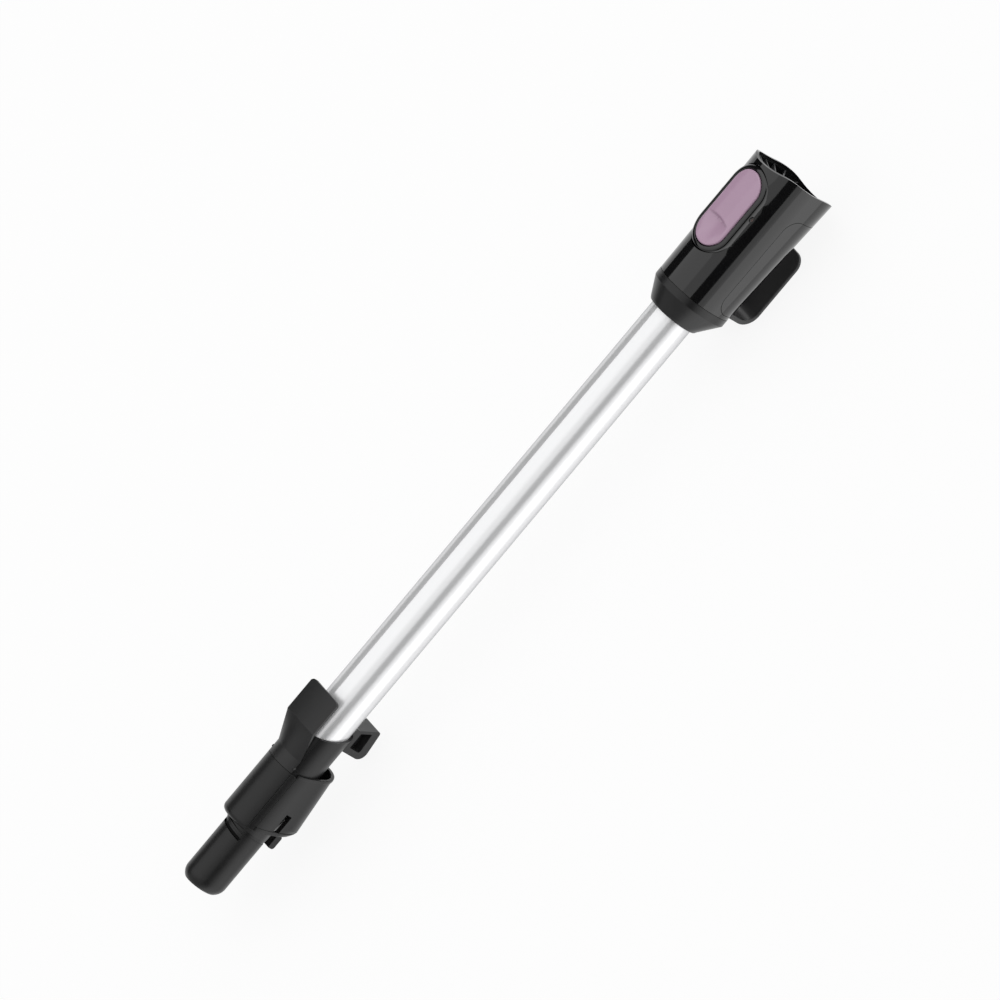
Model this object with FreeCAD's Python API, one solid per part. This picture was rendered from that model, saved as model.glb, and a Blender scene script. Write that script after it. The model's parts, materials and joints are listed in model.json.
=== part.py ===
"""Extension wand of a cordless stick vacuum cleaner.

The wand lies along +X, from the spigot for the floor head to the socket for
the machine. +Z is the front, where the release button and the pedal are, and
-Z is the rear, where both hooks are. It is drawn with x = 0 at the spigot's
end, and is then moved so that the origin is the middle of the spigot's length,
on the spigot's axis. Millimetres.
"""
import FreeCAD
import Part
import math
import os

V = FreeCAD.Vector

# Tube
TUBE_R = 17.5
TUBE_WALL = 1.2
TUBE_LENGTH = 510.0
TUBE_Z = 3.9                 # the tube's axis lies this far in front of the spigot's
TUBE_CLEARANCE = 0.4         # left round the tube by what only passes near it

# Clearances
PANEL_GAP = 0.3              # a seam between two mouldings
PIN_GAP = 0.05               # a pin turning in its hole
EDGE_OFFSET = 1.0            # how far a cutting shape runs past what it cuts

# Spigot and sleeve, one moulding
SPIGOT_R = 16.5
SPIGOT_BORE_R = 12.8
SPIGOT_LENGTH = 60.4
SPIGOT_END_SLANT = 7.5       # how much shorter the rear side is
SPIGOT_END_R = 10.0          # rounding of the lower end
SPIGOT_RELIEF_LENGTH = 2.5   # a shallow groove before the shoulder
SPIGOT_RELIEF_DEPTH = 0.3
NECK_LENGTH = 14.0           # from the spigot's section to the sleeve's
TUBE_START_OFFSET = 16.0     # from the sleeve's start to the tube's end face
SLEEVE_WALL = 2.25
SLEEVE_FRONT_LENGTH = 69.6
SLEEVE_SLANT = 17.4          # how much longer the sleeve is at the rear
CATCH_SLOT_LENGTH = 2.6
CATCH_SLOT_DEPTH = 2.0
CATCH_SLOT_WIDTH = 24.0
CATCH_SLOT_SLANT = 8.8       # degrees across the front
CATCH_SLOT_BACK = 7.9        # from the slot to the front cover

# Front cover of the lower end
COVER_THICKNESS = 1.6
COVER_LENGTH = 54.0
COVER_HALF_ANGLE = 47.0
COVER_END_R = 4.5            # rounding of its lower end

# Release pedal
PEDAL_GAP = 0.5              # between the pedal's base and the recess under it
PEDAL_THICKNESS = 2.3
PEDAL_RECESS_HALF_ANGLE = 49.0
PEDAL_BASE_LENGTH = 10.4
PEDAL_FLARE_LENGTH = 23.0
PEDAL_PLATE_LENGTH = 29.2
PEDAL_HEIGHT = 27.2          # outer face of the plate, from the tube's axis
PEDAL_HALF_WIDTH = 18.0
PEDAL_CROWN_R = 140.0
PEDAL_CORNER_R = 6.0
PEDAL_PIVOT_X = 4.0          # from the pedal's lower edge
PEDAL_PIVOT_Z = 14.6
PEDAL_PIN_R = 1.2
PEDAL_PIN_LENGTH = 5.0
SPRING_WIRE_R = 0.3
SPRING_R = 2.6
PEDAL_SPRING_X = 26.0        # from the pedal's lower edge

# Rear shell with the catch in it
REAR_START_OFFSET = 5.0      # from the spigot's end to the shell's rim
REAR_START_SLANT = 8.0       # how much higher the rim is at the rear
REAR_END_BEYOND = 2.0        # from the front cover's upper end
REAR_END_SLANT = 9.0
REAR_WALL = 1.7
REAR_HALF_ANGLE = 62.0       # measured from the front, where the shell stops
BULGE_START_REAR = 0.6
BULGE_LOW_OFFSET = 11.0
BULGE_LOW = 8.5
BULGE_MAX_OFFSET = 18.5
BULGE_MAX = 16.4
BULGE_TOP = 8.5
BULGE_OVERRUN = 8.0
SIDE_SLOT_OFFSET = 12.0      # a slot in each flank of the bulge, from the spigot's end
SIDE_SLOT_END = 27.5
SIDE_SLOT_FRONT = 4.2        # its two long sides, behind the tube's axis
SIDE_SLOT_REAR = 10.2

# Catch lever in the rear shell
CATCH_WIDTH = 12.0
CATCH_THICKNESS = 2.6
CATCH_PIVOT_OFFSET = 36.0
CATCH_PIVOT_Z = -25.6        # from the tube's axis
CATCH_PIN_R = 1.2
CATCH_BOSS_R = 2.8
CATCH_NOSE_OVERLAP = 4.0     # how far the nose reaches below the spigot's shoulder
CATCH_NOSE_CORNER_R = 0.5
CATCH_NOSE_Z = -33.6         # outer face of the nose, from the tube's axis
CATCH_NOSE_LENGTH = 13.0
CATCH_NOSE_BEVEL = 2.2
CATCH_INNER_Z = -28.0        # inner face of the nose's bar
CATCH_BAR_Z = -30.0          # outer face of the bar inside the shell
CATCH_TOP_OFFSET = 58.0
CATCH_TOP_Z = -26.6
CATCH_NOTCH_GAP = 1.0
CATCH_NOTCH_DEPTH = 4.0
LUG_THICKNESS = 2.0
LUG_HALF_LENGTH = 4.0
LUG_TIP = 2.4
CATCH_SPRING_BACK = 8.0      # from the lever's upper end

# Accessory hook above the sleeve
TOOL_HOOK_REACH = 42.9       # outer face, from the tube's axis
TOOL_HOOK_HALF_WIDTH = 9.0
TOOL_HOOK_OVERLAP = 15.2     # how far it starts below the sleeve's rear edge
TOOL_HOOK_TONGUE_LENGTH = 19.8
TOOL_HOOK_LENGTH = 26.8
TOOL_HOOK_FRAME = 5.0        # round the recess
TOOL_HOOK_FOOT = 3.3         # height of the foot beside the tube
TOOL_HOOK_CORNER_R = 7.0
TOOL_HOOK_TIP_R = 2.2
TOOL_HOOK_LEAN = 4.0         # how far its plate leans in towards the tip
TOOL_HOOK_WEB = 2.4
TOOL_HOOK_SEAT_DEPTH = 4.0

# Upper housing
HOUSING_OVERLAP = 31.5       # how far it covers the tube
HOUSING_LENGTH = 108.2       # along its front
HOUSING_RIM_SIDE = 3.0       # how much higher the mouth's sides are than its front
HOUSING_RIM_REAR = -2.4      # and its rear
HOUSING_RIM_TILT = 4.5       # degrees, higher on the side of -Y
HOUSING_WALL = 2.4
HOUSING_R0 = 28.9
HOUSING_R1 = 30.0
HOUSING_REAR0 = 5.8          # how far the rear half circle is shifted back
HOUSING_REAR1 = 11.6

# Collar below the housing
COLLAR_LENGTH = 22.6
COLLAR_R = 21.4
COLLAR_CONE_LENGTH = 16.4
COLLAR_EDGE_R = 2.4
COLLAR_WALL = 2.6
COLLAR_OVAL = 0.02           # so little that the lower section is a circle to the eye

# Rear panel and hanging hook
PANEL_INSET_LOW = 3.0
PANEL_INSET_HIGH = 16.7
PANEL_CORNER_R = 12.0
HOOK_REACH = 53.0            # outer face, from the tube's axis
HOOK_HALF_WIDTH = 18.0
HOOK_INSET = 0.5             # from the housing's lower edge
HOOK_LENGTH = 65.5
HOOK_THICKNESS = 2.8
HOOK_FLOOR = 4.0
HOOK_BEND_R = 13.0
HOOK_CORNER_R = 10.0
HOOK_ROOT_DEPTH = 4.0
HOOK_EDGE_R = 0.9

# Release button
BUTTON_INSET_LOW = 34.8
BUTTON_INSET_HIGH = 7.9
BUTTON_HALF_WIDTH = 14.7
BUTTON_FACE_Z = 30.1         # crown of the button, from the tube's axis
BUTTON_CROWN_R = 60.0
BUTTON_THICKNESS = 2.6
BUTTON_GAP = 0.6
BUTTON_EDGE_R = 1.1
BUTTON_SCOOP_OFFSET = 11.0   # deepest line of the thumb scoop, from the button's lower end
BUTTON_SCOOP_LENGTH = 22.5   # its upper edge, from the button's lower end
BUTTON_SCOOP_DEPTH = 1.2
BUTTON_SCOOP_R = 60.0
BEZEL_WIDTH = 4.4
BEZEL_FACE_Z = 29.7
BEZEL_DEPTH = 9.5
BEZEL_OUTER_R = 3.4          # rounding of the ring's outer edge
BEZEL_INNER_R = 0.7
PIVOT_OFFSET = 37.9          # from the button's lower end
PIVOT_Z = 22.0
PIVOT_PIN_R = 1.3
BUTTON_EAR = 2.0
BUTTON_EAR_R = 4.0
BUTTON_SPRING_OFFSET = 10.5

# Socket inside the housing
SOCKET_R = 16.6
SOCKET_WALL = 1.8
SOCKET_RECESS = 7.0          # how far the socket's mouth lies below the front rim
SOCKET_LEAD = 12.0           # the wider stretch at the mouth, where the tooth is
SOCKET_LEAD_GROW = 0.6
SEAT_WALL = 2.1
SOCKET_SEAT_DEPTH = 27.0     # how far the seat covers the tube
SOCKET_SEAT_BEYOND = 18.0
RIB_COUNT = 6
RIB_FIRST_ANGLE = 30.0
RIB_THICKNESS = 1.6
RIB_SHORT = 6.0
SEAL_THICKNESS = 1.5
SEAL_LENGTH = 3.0
SEAL_OFFSET = 6.0
ARM_WIDTH = 9.0
ARM_THICKNESS = 2.0
ARM_RISE = 1.6               # between the socket and the arm
ARM_START = 6.0              # from the pivot
ARM_POST = 5.0
ARM_GAP = 0.8
ARM_INSET = 4.0              # from the socket's mouth to the tooth
TOOTH_LENGTH = 4.0
TOOTH_BITE = 1.0

# Screws
SCREW_R = 1.4
SCREW_HEAD_R = 2.6
SCREW_HEAD = 1.4
SCREW_BACK = 8.0             # from the front cover's upper end

# Places that follow from the sizes above
SLEEVE_R = TUBE_R + SLEEVE_WALL
COVER_R = SLEEVE_R + COVER_THICKNESS
PEDAL_RECESS_R = COVER_R - PEDAL_THICKNESS - PEDAL_GAP
SEAT_R = TUBE_R + SEAT_WALL
SLEEVE_START_X = SPIGOT_LENGTH + NECK_LENGTH
SLEEVE_FRONT_X = SLEEVE_START_X + SLEEVE_FRONT_LENGTH
SLEEVE_REAR_X = SLEEVE_FRONT_X + SLEEVE_SLANT
TUBE_START = SLEEVE_START_X + TUBE_START_OFFSET
TUBE_END = TUBE_START + TUBE_LENGTH
COVER_END_X = SPIGOT_LENGTH + COVER_LENGTH
REAR_START_X = SPIGOT_LENGTH + REAR_START_OFFSET
REAR_END_X = COVER_END_X + REAR_END_BEYOND
BULGE_LOW_X = SPIGOT_LENGTH + BULGE_LOW_OFFSET
BULGE_MAX_X = SPIGOT_LENGTH + BULGE_MAX_OFFSET
CATCH_PIVOT_X = SPIGOT_LENGTH + CATCH_PIVOT_OFFSET
CATCH_NOSE_X = SPIGOT_LENGTH - CATCH_NOSE_OVERLAP
CATCH_TOP_X = SPIGOT_LENGTH + CATCH_TOP_OFFSET
CATCH_SPRING_X = CATCH_TOP_X - CATCH_SPRING_BACK
TOOL_HOOK_START_X = SLEEVE_REAR_X - TOOL_HOOK_OVERLAP
TOOL_HOOK_TONGUE_X = TOOL_HOOK_START_X + TOOL_HOOK_TONGUE_LENGTH
TOOL_HOOK_END_X = TOOL_HOOK_START_X + TOOL_HOOK_LENGTH
HOUSING_START_X = TUBE_END - HOUSING_OVERLAP
HOUSING_FRONT_X = HOUSING_START_X + HOUSING_LENGTH
HOUSING_TOP_X = HOUSING_FRONT_X + HOUSING_RIM_SIDE
COLLAR_START_X = HOUSING_START_X - COLLAR_LENGTH
PANEL_START_X = HOUSING_START_X + PANEL_INSET_LOW
PANEL_END_X = HOUSING_FRONT_X - PANEL_INSET_HIGH
HOOK_START_X = HOUSING_START_X + HOOK_INSET
HOOK_END_X = HOOK_START_X + HOOK_LENGTH
BUTTON_START_X = HOUSING_START_X + BUTTON_INSET_LOW
BUTTON_END_X = HOUSING_FRONT_X - BUTTON_INSET_HIGH
BUTTON_SPRING_X = BUTTON_START_X + BUTTON_SPRING_OFFSET
PIVOT_X = BUTTON_START_X + PIVOT_OFFSET
SOCKET_END_X = HOUSING_FRONT_X - SOCKET_RECESS
BEZEL_GROW = BUTTON_GAP + BEZEL_WIDTH
PIVOT_PIN_HALF = BUTTON_HALF_WIDTH + BEZEL_GROW
ORIGIN_X = SPIGOT_LENGTH / 2
FAR = 200.0


def disc_wire(r, x, z):
    """A circle about an axis along X."""
    return Part.Wire([Part.makeCircle(r, V(x, 0, z), V(1, 0, 0))])


def round_bar(r, x0, x1, z=TUBE_Z):
    """A cylinder along X."""
    return Part.makeCylinder(r, x1 - x0, V(x0, 0, z), V(1, 0, 0))


def cross_bar(r, x, z, half):
    """A cylinder along Y, centred on the middle plane."""
    return Part.makeCylinder(r, 2 * half, V(x, -half, z), V(0, 1, 0))


def block(x0, x1, y0, y1, z0, z1):
    """A box given by its six faces."""
    return Part.makeBox(x1 - x0, y1 - y0, z1 - z0, V(x0, y0, z0))


def oval_section(r, rear, x, inset=0.0):
    """Two half circles joined by straight sides, the rear one shifted back."""
    q = r - inset
    front, back = TUBE_Z, TUBE_Z - rear
    arc_front = Part.Arc(V(x, -q, front), V(x, 0, front + q), V(x, q, front)).toShape()
    side_a = Part.makeLine(V(x, q, front), V(x, q, back))
    arc_back = Part.Arc(V(x, q, back), V(x, 0, back - q), V(x, -q, back)).toShape()
    side_b = Part.makeLine(V(x, -q, back), V(x, -q, front))
    return Part.Wire([arc_front, side_a, arc_back, side_b])


def loft(wires):
    """A straight-ruled solid through closed sections."""
    return Part.makeLoft(wires, True, True)


def sector(x0, x1, half_angle):
    """A wedge about the tube's axis, centred on the front."""
    a = math.radians(half_angle)
    side = V(0, FAR * math.sin(a), FAR * math.cos(a))
    base = V(x0, 0, TUBE_Z)
    tip = V(x0, 0, TUBE_Z + FAR)
    left = base + V(0, -side.y, side.z)
    right = base + side
    face = Part.Face(Part.makePolygon([base, left, tip, right, base]))
    return face.extrude(V(x1 - x0, 0, 0))


def above_slant(front_x, rear_x, front_z, rear_z):
    """Everything beyond a plane across the wand that leans from front to rear."""
    slope = (rear_x - front_x) / (rear_z - front_z)
    top, low = FAR, -FAR
    a = V(front_x + slope * (top - front_z), -FAR, top)
    b = V(front_x + slope * (low - front_z), -FAR, low)
    far = V(front_x + 5 * FAR, -FAR, low)
    far_top = V(front_x + 5 * FAR, -FAR, top)
    face = Part.Face(Part.makePolygon([a, b, far, far_top, a]))
    return face.extrude(V(0, 2 * FAR, 0))


def below_slant(front_x, rear_x, front_z, rear_z):
    """Everything before a plane across the wand that leans from front to rear."""
    slope = (rear_x - front_x) / (rear_z - front_z)
    top, low = FAR, -FAR
    a = V(front_x + slope * (top - front_z), -FAR, top)
    b = V(front_x + slope * (low - front_z), -FAR, low)
    far = V(front_x - 5 * FAR, -FAR, low)
    far_top = V(front_x - 5 * FAR, -FAR, top)
    face = Part.Face(Part.makePolygon([a, far_top, far, b, a]))
    return face.extrude(V(0, 2 * FAR, 0))


def slot_outline(x0, x1, half, z):
    """A racetrack in the XY plane with round ends."""
    a, b = x0 + half, x1 - half
    side_a = Part.makeLine(V(a, -half, z), V(b, -half, z))
    end_b = Part.Arc(V(b, -half, z), V(x1, 0, z), V(b, half, z)).toShape()
    side_b = Part.makeLine(V(b, half, z), V(a, half, z))
    end_a = Part.Arc(V(a, half, z), V(x0, 0, z), V(a, -half, z)).toShape()
    return Part.Face(Part.Wire([side_a, end_b, side_b, end_a]))


def slot_prism(x0, x1, half, z0, z1):
    """A racetrack column along Z."""
    return slot_outline(x0, x1, half, z0).extrude(V(0, 0, z1 - z0))


def rounded_plate(x0, x1, half, r, z0, z1):
    """A plate whose two corners at x1 are round."""
    pts = [V(x0, -half, z0), V(x1 - r, -half, z0), V(x1, -half + r, z0),
           V(x1, half - r, z0), V(x1 - r, half, z0), V(x0, half, z0)]
    q = r * (1 - math.sqrt(0.5))
    low = Part.Arc(pts[1], V(x1 - q, -half + q, z0), pts[2]).toShape()
    high = Part.Arc(pts[3], V(x1 - q, half - q, z0), pts[4]).toShape()
    wire = Part.Wire([Part.makeLine(pts[0], pts[1]), low, Part.makeLine(pts[2], pts[3]),
                      high, Part.makeLine(pts[4], pts[5]), Part.makeLine(pts[5], pts[0])])
    return Part.Face(wire).extrude(V(0, 0, z1 - z0))


def side_profile(points, half_width):
    """A closed outline in the XZ plane, extruded both ways along Y."""
    face = Part.Face(Part.makePolygon([V(x, -half_width, z) for x, z in points + points[:1]]))
    return face.extrude(V(0, 2 * half_width, 0))


def rounded_profile(corners, half_width):
    """A closed outline in the XZ plane whose corners have named radii, extruded both ways along Y.

    Each corner is (x, z, radius), and a radius of zero leaves it sharp.
    """
    pts = [V(x, -half_width, z) for x, z, r in corners]
    edges, last = [], None
    count = len(pts)
    starts = []
    for i, (x, z, r) in enumerate(corners):
        here, before, after = pts[i], pts[i - 1], pts[(i + 1) % count]
        u, w = (before - here).normalize(), (after - here).normalize()
        if r == 0:
            starts.append((here, here, None))
            continue
        half_angle = math.acos(max(-1.0, min(1.0, u.dot(w)))) / 2
        run = r / math.tan(half_angle)
        bisector = (u + w).normalize()
        centre = here + bisector * (r / math.sin(half_angle))
        starts.append((here + u * run, here + w * run, centre - bisector * r))
    for i, (first, second, middle) in enumerate(starts):
        if last is not None and (first - last).Length > 1e-6:
            edges.append(Part.makeLine(last, first))
        if middle is not None:
            edges.append(Part.Arc(first, middle, second).toShape())
        last = second
    if (starts[0][0] - last).Length > 1e-6:
        edges.append(Part.makeLine(last, starts[0][0]))
    return Part.Face(Part.Wire(edges)).extrude(V(0, 2 * half_width, 0))


def coil(x, z0, z1, radius, turns):
    """A compression spring along Z, of round wire with ground ends left plain."""
    height = z1 - z0 - 2 * SPRING_WIRE_R
    helix = Part.makeHelix(height / turns, height, radius)
    wire_section = Part.Wire([Part.makeCircle(SPRING_WIRE_R, V(radius, 0, 0), V(0, 1, 0))])
    pipe = Part.Wire(helix).makePipeShell([wire_section], True, True)
    pipe.translate(V(x, 0, z0 + SPRING_WIRE_R))
    return pipe


def bulge_section(x, rear, inset=0.0):
    """Section of the rear shell's outside, or of its cavity when inset."""
    return oval_section(COVER_R, rear, x, inset)


def bulge_solid(inset=0.0):
    """The rear shell's bulge, lofted through its lower lip, its crest and its top."""
    low_x, high_x = SPIGOT_LENGTH - EDGE_OFFSET, REAR_END_X + REAR_END_SLANT + BULGE_OVERRUN
    sections = [bulge_section(low_x, BULGE_START_REAR, inset), bulge_section(BULGE_LOW_X, BULGE_LOW, inset),
                bulge_section(BULGE_MAX_X, BULGE_MAX, inset), bulge_section(high_x, BULGE_TOP, inset)]
    return loft(sections)


def housing_solid(inset=0.0):
    """The upper housing's full form, before its mouth is cut."""
    x0, x1 = HOUSING_START_X, HOUSING_TOP_X + HOUSING_RIM_SIDE
    share = (x1 - x0) / (HOUSING_TOP_X - x0)
    r1 = HOUSING_R0 + (HOUSING_R1 - HOUSING_R0) * share
    rear1 = HOUSING_REAR0 + (HOUSING_REAR1 - HOUSING_REAR0) * share
    return loft([oval_section(HOUSING_R0, HOUSING_REAR0, x0, inset),
                 oval_section(r1, rear1, x1, inset)])


def mouth_cut():
    """What lies past the housing's rim, which dips at the front and at the rear."""
    r, low = HOUSING_R1, HOUSING_R1 + HOUSING_REAR1
    side, rear = HOUSING_RIM_SIDE, HOUSING_RIM_REAR
    rim = [(r + EDGE_OFFSET, 0.0), (r * 0.95, side * 0.15), (r * 0.73, side * 0.9), (r * 0.4, side),
           (-r * 0.1, side * 0.8), (-r * 0.67, side), (-r, side * 0.55), (-low, rear), (-low - EDGE_OFFSET, rear)]
    points = [V(HOUSING_FRONT_X + dx, -FAR, TUBE_Z + z) for z, dx in rim]
    curve = Part.BSplineCurve()
    curve.interpolate(points)
    first, last = points[0], points[-1]
    far_top = V(first.x + FAR, -FAR, first.z + FAR)
    far_low = V(first.x + FAR, -FAR, last.z - FAR)
    top, low = V(first.x, -FAR, first.z + FAR), V(last.x, -FAR, last.z - FAR)
    outline = Part.makePolygon([last, low, far_low, far_top, top, first])
    beyond = Part.Face(Part.Wire([curve.toShape()] + outline.Edges)).extrude(V(0, 2 * FAR, 0))
    beyond.rotate(V(HOUSING_FRONT_X, 0, TUBE_Z), V(0, 0, 1), HOUSING_RIM_TILT)
    return beyond


def pedal_pivot():
    """Centre of the pedal's hinge, in the XZ plane."""
    return COVER_END_X + PANEL_GAP + PEDAL_PIVOT_X, TUBE_Z + PEDAL_PIVOT_Z


def catch_pivot():
    """Centre of the catch's hinge, in the XZ plane."""
    return CATCH_PIVOT_X, TUBE_Z + CATCH_PIVOT_Z


def neck_cone():
    """The outside of the neck between the spigot and the sleeve."""
    return loft([disc_wire(SPIGOT_R, SPIGOT_LENGTH, 0), disc_wire(SLEEVE_R, SLEEVE_START_X, TUBE_Z)])


def spigot_form():
    """The solid spigot, its end cut on a slant and then rounded."""
    bar = round_bar(SPIGOT_R, 0, SPIGOT_LENGTH, 0)
    bar = bar.cut(below_slant(0, SPIGOT_END_SLANT, SPIGOT_R, -SPIGOT_R))
    rim = [e for e in bar.Edges if e.BoundBox.XMax < SPIGOT_END_SLANT + EDGE_OFFSET and e.BoundBox.YLength > SPIGOT_R]
    bar = bar.makeFillet(SPIGOT_END_R, rim)
    groove = round_bar(SPIGOT_R + EDGE_OFFSET, SPIGOT_LENGTH - SPIGOT_RELIEF_LENGTH, SPIGOT_LENGTH, 0)
    core = round_bar(SPIGOT_R - SPIGOT_RELIEF_DEPTH, 0, SPIGOT_LENGTH + EDGE_OFFSET, 0)
    return bar.cut(groove.cut(core))


def lower_body():
    """Spigot, neck and sleeve, with the lugs that carry the catch."""
    sleeve = round_bar(SLEEVE_R, SLEEVE_START_X, SLEEVE_REAR_X + EDGE_OFFSET)
    body = spigot_form().fuse([neck_cone(), sleeve])
    px, pz = catch_pivot()
    lug_inner = CATCH_WIDTH / 2 + PANEL_GAP
    for side in (-1, 1):
        y0, y1 = sorted((side * lug_inner, side * (lug_inner + LUG_THICKNESS)))
        root_z = TUBE_Z - TUBE_R - TUBE_CLEARANCE
        lug = block(px - LUG_HALF_LENGTH, px + LUG_HALF_LENGTH, y0, y1, pz, root_z)
        tip = Part.makeCylinder(LUG_HALF_LENGTH, y1 - y0, V(px, y0, pz), V(0, 1, 0))
        tip = tip.common(block(px - FAR, px + FAR, -FAR, FAR, pz - LUG_TIP, FAR))
        body = body.fuse(lug.fuse(tip))
    bore_neck = loft([disc_wire(SPIGOT_BORE_R, SPIGOT_LENGTH, 0),
                      disc_wire(TUBE_R - TUBE_WALL, SLEEVE_START_X, TUBE_Z)])
    bores = [round_bar(SPIGOT_BORE_R, -EDGE_OFFSET, SPIGOT_LENGTH, 0), bore_neck,
             round_bar(TUBE_R - TUBE_WALL, SLEEVE_START_X, TUBE_START),
             round_bar(TUBE_R, TUBE_START, SLEEVE_REAR_X + FAR)]
    body = body.cut(bores)
    body = body.cut(above_slant(SLEEVE_FRONT_X, SLEEVE_REAR_X, TUBE_Z + SLEEVE_R, TUBE_Z - SLEEVE_R))
    recess = sector(COVER_END_X, SLEEVE_REAR_X, PEDAL_RECESS_HALF_ANGLE)
    body = body.cut(recess.cut(round_bar(PEDAL_RECESS_R, 0, SLEEVE_REAR_X + FAR)))
    slot_x = SPIGOT_LENGTH - CATCH_SLOT_BACK
    slot = block(slot_x, slot_x + CATCH_SLOT_LENGTH, -CATCH_SLOT_WIDTH / 2, CATCH_SLOT_WIDTH / 2, 0, FAR)
    slot.rotate(V(slot_x, 0, 0), V(0, 0, 1), -CATCH_SLOT_SLANT)
    keep = round_bar(SPIGOT_R - CATCH_SLOT_DEPTH, 0, SPIGOT_LENGTH, 0)
    body = body.cut(slot.cut(keep))
    hole = cross_bar(CATCH_PIN_R, px, pz, FAR)
    hole_p = cross_bar(PEDAL_PIN_R, pedal_pivot()[0], pedal_pivot()[1], FAR)
    near_tube = round_bar(TUBE_R + TUBE_CLEARANCE, 0, SLEEVE_REAR_X + FAR)
    body = body.cut([hole, hole_p.cut(near_tube)])
    for y_sign in (-1, 1):
        body = body.cut(side_screw(y_sign))
    return body.removeSplitter()


def front_cover():
    """The moulding that closes the front of the sleeve, below the pedal."""
    skin = round_bar(COVER_R, SPIGOT_LENGTH, COVER_END_X)
    rim = [e for e in skin.Edges if abs(e.BoundBox.XMax - SPIGOT_LENGTH) < 1e-6 and e.BoundBox.YLength > COVER_R]
    skin = skin.makeFillet(COVER_END_R, rim)
    skin = skin.common(sector(SPIGOT_LENGTH, COVER_END_X, COVER_HALF_ANGLE))
    return largest(skin.cut([round_bar(SLEEVE_R, SLEEVE_START_X, COVER_END_X), neck_cone()]))


def pedal_section(x, r_out, centre_z, half, thickness):
    """A curved strip across the wand: outer arc, inner arc and two short sides."""
    r_in = r_out - thickness
    a = math.asin(half / r_out)

    def point(r, t):
        return V(x, r * math.sin(t), centre_z + r * math.cos(t))

    outer = Part.Arc(point(r_out, -a), point(r_out, 0), point(r_out, a)).toShape()
    inner = Part.Arc(point(r_in, a), point(r_in, 0), point(r_in, -a)).toShape()
    return Part.Wire([outer, Part.makeLine(point(r_out, a), point(r_in, a)), inner,
                      Part.makeLine(point(r_in, -a), point(r_out, -a))])


def release_pedal():
    """A lever that hugs the sleeve, flares out and ends in a broad flat plate."""
    x0 = COVER_END_X + PANEL_GAP
    x1 = x0 + PEDAL_BASE_LENGTH
    x2 = x1 + PEDAL_FLARE_LENGTH
    x3 = x2 + PEDAL_PLATE_LENGTH
    base_half = COVER_R * math.sin(math.radians(COVER_HALF_ANGLE))
    base_r = COVER_R
    plate_z = TUBE_Z + PEDAL_HEIGHT - PEDAL_CROWN_R

    def base_at(x):
        return pedal_section(x, base_r, TUBE_Z, base_half, PEDAL_THICKNESS)

    def plate_at(x):
        return pedal_section(x, PEDAL_CROWN_R, plate_z, PEDAL_HALF_WIDTH, PEDAL_THICKNESS)

    lever = loft([base_at(x0), base_at(x1)]).fuse([loft([base_at(x1), plate_at(x2)]),
                                                   loft([plate_at(x2), plate_at(x3)])])
    plan = rounded_plate(x0 - 1.0, x3, PEDAL_HALF_WIDTH + 1.0, PEDAL_CORNER_R, -FAR, FAR)
    lever = lever.common(plan)
    px, pz = pedal_pivot()
    return lever.cut(cross_bar(PEDAL_PIN_R + PIN_GAP, px, pz, FAR)).removeSplitter()


def pedal_pins():
    """Two short trunnions in the sleeve's wall, one at each edge of the pedal."""
    px, pz = pedal_pivot()
    start = math.sqrt((TUBE_R + TUBE_CLEARANCE) ** 2 - (pz - TUBE_Z) ** 2)
    both = [Part.makeCylinder(PEDAL_PIN_R, PEDAL_PIN_LENGTH, V(px, s * start, pz), V(0, s, 0))
            for s in (-1, 1)]
    near_tube = round_bar(TUBE_R + TUBE_CLEARANCE, 0, SLEEVE_REAR_X + FAR)
    return Part.makeCompound([pin.cut(near_tube) for pin in both])


def pedal_spring():
    """A short coil between the sleeve and the pedal's flare."""
    x = COVER_END_X + PANEL_GAP + PEDAL_SPRING_X
    inner0 = COVER_R - PEDAL_THICKNESS
    inner1 = PEDAL_HEIGHT - PEDAL_THICKNESS
    share = (PEDAL_SPRING_X - SPRING_R - PEDAL_BASE_LENGTH) / PEDAL_FLARE_LENGTH
    top = inner0 + (inner1 - inner0) * share
    return coil(x, TUBE_Z + PEDAL_RECESS_R, TUBE_Z + top, SPRING_R, 2)


def rear_shell():
    """The bulging rear moulding, open at its top, where the catch is pressed."""
    outside = bulge_solid()
    cavity = bulge_solid(REAR_WALL)
    shell = outside.cut([cavity, round_bar(SLEEVE_R, SLEEVE_START_X, FAR), neck_cone()])
    side_z = TUBE_Z + COVER_R * math.cos(math.radians(REAR_HALF_ANGLE))
    rear_z = TUBE_Z - COVER_R
    shell = shell.cut([below_slant(REAR_START_X, REAR_START_X + REAR_START_SLANT, side_z, rear_z),
                       above_slant(REAR_END_X, REAR_END_X + REAR_END_SLANT, side_z, rear_z),
                       sector(0, FAR, REAR_HALF_ANGLE)])
    notch_half = CATCH_WIDTH / 2 + CATCH_NOTCH_GAP
    notch = block(0, BULGE_MAX_X, -notch_half, notch_half, -FAR, TUBE_Z - SLEEVE_R - CATCH_NOTCH_DEPTH)
    slots = block(SPIGOT_LENGTH + SIDE_SLOT_OFFSET, SPIGOT_LENGTH + SIDE_SLOT_END, -FAR, FAR,
                  TUBE_Z - SIDE_SLOT_REAR, TUBE_Z - SIDE_SLOT_FRONT)
    shell = shell.cut([notch, slots.cut(round_bar(SLEEVE_R, 0, FAR))])
    return largest(shell)


def largest(shape):
    """The main solid of a cut, without slivers left beside it."""
    return max(shape.Solids, key=lambda s: s.Volume)


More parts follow.
